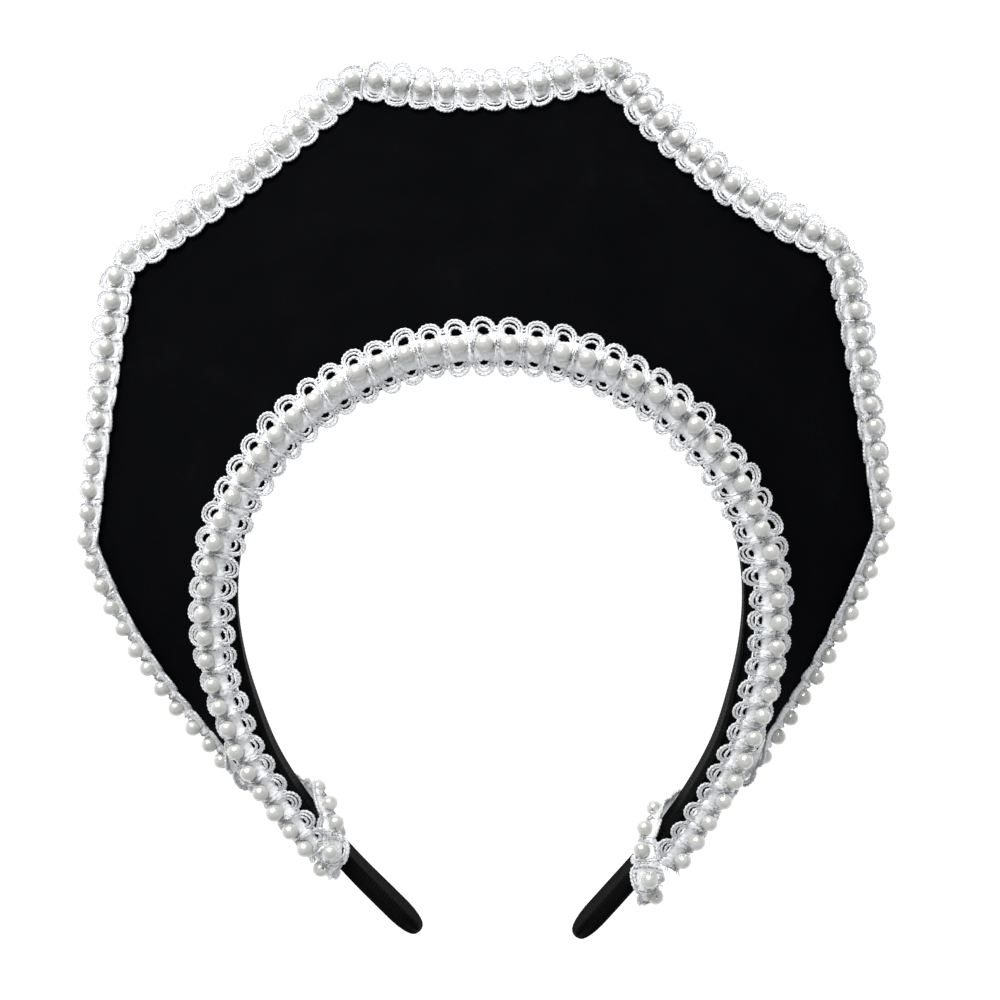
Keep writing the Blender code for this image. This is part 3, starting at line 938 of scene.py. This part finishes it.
# %% Find the panel's edge
PANEL_STEP = 1.25
FRONT_POINTS = 26
PANEL_ROUND = 1.3
SEAM_GAP = 0.1
STEEP_FALL = (45.0, 62.0)
VELVET_OUT = 0.9
FOLD_ANGLES = (35, 70, 110, 145)
HEEL_BACK = 0.1
FOLD_START = 1.1


def panel_edges():
    """For places along the arch, the front corner of the panel's edge: rim stations, then the horns.

    Where the braid stands up steeply, the velvet reaches out to it."""
    fall = np.array([row.fall_in for row in RIM_ROWS])
    back = RIM_EDGE - VELVET_OUT * np.clip(np.interp(fall, STEEP_FALL, (0.0, 1.0)), 0.0, 1.0)
    edges = np.array([[row.x, row.y, row.z] for row in RIM_ROWS]) - back[:, None] * RIM_OUTWARD
    spread = np.linspace(-LAST_RIB + RIB_STEP, LAST_RIB - RIB_STEP, len(edges))
    horns = []
    for s in (-LAST_RIB, LAST_RIB):
        corner, outward = arch_frame(s)[:2]
        horns.append(corner + HORN_OUT * outward - HORN_DROP * UP)
    places = np.concatenate([[-LAST_RIB], spread, [LAST_RIB]])
    return places, np.vstack([horns[:1], edges, horns[1:]])


print("places along the panel's edge:", len(panel_edges()[0]))


# %% Draw one rib of the panel
def panel_rib(s, edge):
    """Points along the panel's face at s, from the arch to the edge, rounded over the fold."""
    corner = arch_frame(s)[0]
    seat, outward, row = front_seat(s)
    cos_in, sin_in = turn(row.fall_in)
    cos_out, sin_out = turn(row.fall_out)
    fold = seat - SEAT_GAP / min(cos_in, cos_out) * UP
    cos_lean, sin_lean = turn(min(0.0, row.lean))
    clear = BAND_THICKNESS + SEAM_GAP + PANEL_THICKNESS * (sin_in - cos_in * sin_lean / cos_lean)
    inner = corner + clear * outward
    inner[2] = fold[2] + (row.out - clear) * sin_in / cos_in
    foot = fold + BRAID_HALF * (cos_out * outward - sin_out * UP)
    horn = np.clip((abs(s) - LAST_RIB + RIB_STEP) / RIB_STEP, 0.0, 1.0)
    foot = (1 - horn) * foot + horn * (fold + edge) / 2
    return np.array([inner, fold, foot, edge])


print("a rib bends at", len(panel_rib(0.0, panel_edges()[1][0])), "marks")


# %% Cover the panel in velvet
def panel_part():
    """The velvet skin of the panel: a closed outline for each rib, front, edge and back."""
    places, edges = panel_edges()
    edge_run = np.array([np.interp(np.arange(-LAST_RIB, LAST_RIB, PANEL_STEP), places, edges[:, c])
                         for c in range(3)]).T
    share = np.linspace(0.0, 1.0, FRONT_POINTS)
    outlines = []
    for s, edge in zip(np.arange(-LAST_RIB, LAST_RIB, PANEL_STEP), edge_run):
        marks = panel_rib(s, edge)
        run = lengths_along(marks)
        face = np.array([np.interp(share * run[-1], run, marks[:, c]) for c in range(3)]).T
        softened = face.copy()
        softened[1:-1] = (face[:-2] + 2 * face[1:-1] + face[2:]) / 4
        outlines.append(softened)
    face = np.array(outlines)
    along = np.gradient(face, axis=0)
    across = np.gradient(face, axis=1)
    normal = unit(np.cross(along, across))
    normal *= np.sign(normal[..., 2:].mean())
    outer = unit(across[:, -1])
    inner = unit(across[:, 0])
    rim_turn = []
    for angle in np.radians(FOLD_ANGLES):
        rim_turn.append(face[:, -1] - PANEL_THICKNESS / 2 * normal[:, -1]
                        + PANEL_THICKNESS / 2 * np.cos(angle) * normal[:, -1]
                        + PANEL_ROUND * (np.sin(angle) - 1) * outer)
    back = (face - PANEL_THICKNESS * normal)[:, ::-4]
    heel = face[:, 0] - PANEL_THICKNESS / 2 * normal[:, 0] - HEEL_BACK * inner
    front = face.copy()
    front[:, -1] -= FOLD_START * outer
    rings = np.concatenate([front, np.stack(rim_turn, 1), back, heel[:, None]], 1)
    sides = rings.shape[1] // 2 * 2
    faces = tube_faces(len(rings), sides, False)
    rings = rings[:, :sides]
    return rings.reshape(-1, 3), faces[:, ::-1]


panel = closed_mesh("velvet_panel", *panel_part())
panel.data.materials.append(velvet_finish)
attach(panel, "root")
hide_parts("crown_panel")
print("panel faces:", len(panel.data.polygons))

# %% [markdown]
# Last come the two braids. A braid's loops are cut into stretches, so that no mesh grows too large, and each
# stretch gets its scallops; the tape, the threads and the pearls of a braid are one mesh each. Pearls, tape
# and cords are separate meshes, because they have different finishes.

# %% Sew on the braids
PEARL_PITCH = 6.25


def sew(name, path, count, cuts, node):
    """Make all the pieces of one braid, which together stand for one solid."""
    pitch = path.length / count
    places = (np.arange(count) + 0.5) * pitch
    pieces = []
    for i, stretch in enumerate(np.array_split(places, cuts)):
        for side, word in ((-1, "inner"), (1, "outer")):
            parts = scallop_parts(path, stretch, side)
            pieces.append((closed_mesh(f"{name}_{word}_loops_{i + 1}", *joined(parts)), cord_finish))
    pieces.append((closed_mesh(f"{name}_tape", *tape_part(path, places, pitch)), tape_finish))
    threads = crossing_parts(path, places, pitch) + thread_parts(path, places)
    threads += frayed_parts(path, 0.0, -1) + frayed_parts(path, path.length, 1)
    pieces.append((closed_mesh(f"{name}_threads", *joined(threads)), cord_finish))
    pieces.append((closed_mesh(f"{name}_pearls", *pearl_parts(path, places)), pearl_finish))
    for piece, material in pieces:
        piece.data.materials.append(material)
        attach(piece, "root")
        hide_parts(node)
    faces = sum(len(piece.data.polygons) for piece, _ in pieces)
    print(name, "has", count, "pearls and", faces, "faces")


sew("front", front_path, 58, 1, "front_trim")
sew("rim", rim_path, round(rim_path.length / PEARL_PITCH), 2, "rim_trim")

# %% [markdown]
# The table is a large pale sheet that glows a little, so that it stays white. Most light comes from the
# white surround. The key lamp, above the top of the picture and a little to the left, shapes the cords. A
# wider lamp at the same place is seen only in reflections: it draws the highlight on every pearl and leaves
# the velvet dark. A weak fill lamp opens the shadows from the other side.

# %% Lay the table and set the lights
FLOOR_DROP = 0.0004
floor = closed_mesh("floor", np.array([
    [-3000.0, -3000.0, 0.0], [3000.0, -3000.0, 0.0], [3000.0, 3000.0, 0.0], [-3000.0, 3000.0, 0.0],
]), np.array([[0, 1, 2, 3]]))
floor.location.z = -FLOOR_DROP
floor_finish, _, _, floor_shader = new_finish("pale_table")
floor_shader.inputs["Base Color"].default_value = (0.30, 0.30, 0.30, 1.0)
floor_shader.inputs["Roughness"].default_value = 0.8
floor_shader.inputs["Emission Color"].default_value = (1.0, 1.0, 1.0, 1.0)
floor_shader.inputs["Emission Strength"].default_value = 0.98
floor.data.materials.append(floor_finish)


def lamp(name, place, size, power):
    """A round soft lamp that points at the object."""
    light = bpy.data.objects.new(name, bpy.data.lights.new(name, "AREA"))
    light.data.shape = "DISK"
    light.data.size = size
    light.data.energy = power
    light.location = place
    light.rotation_euler = (-Vector(place)).to_track_quat("-Z", "Y").to_euler()
    PICTURE_SPACE.objects.link(light)
    return light


KEY_PLACE = (-0.28, 0.72, 0.64)
key = lamp("key_lamp", KEY_PLACE, 0.40, 7.4)
glint = lamp("glint_lamp", KEY_PLACE, 1.05, 30.0)
glint.visible_diffuse = False
fill = lamp("fill_lamp", (0.9, -0.5, 0.9), 1.0, 0.4)
world = bpy.data.worlds.new("white_surround")
world.use_nodes = True
world.node_tree.nodes["Background"].inputs["Color"].default_value = (0.95, 0.97, 1.0, 1.0)
world.node_tree.nodes["Background"].inputs["Strength"].default_value = 0.58
bpy.context.scene.world = world
bpy.context.scene.view_settings.view_transform = "Standard"
print("lamps:", key.name, glint.name, fill.name)
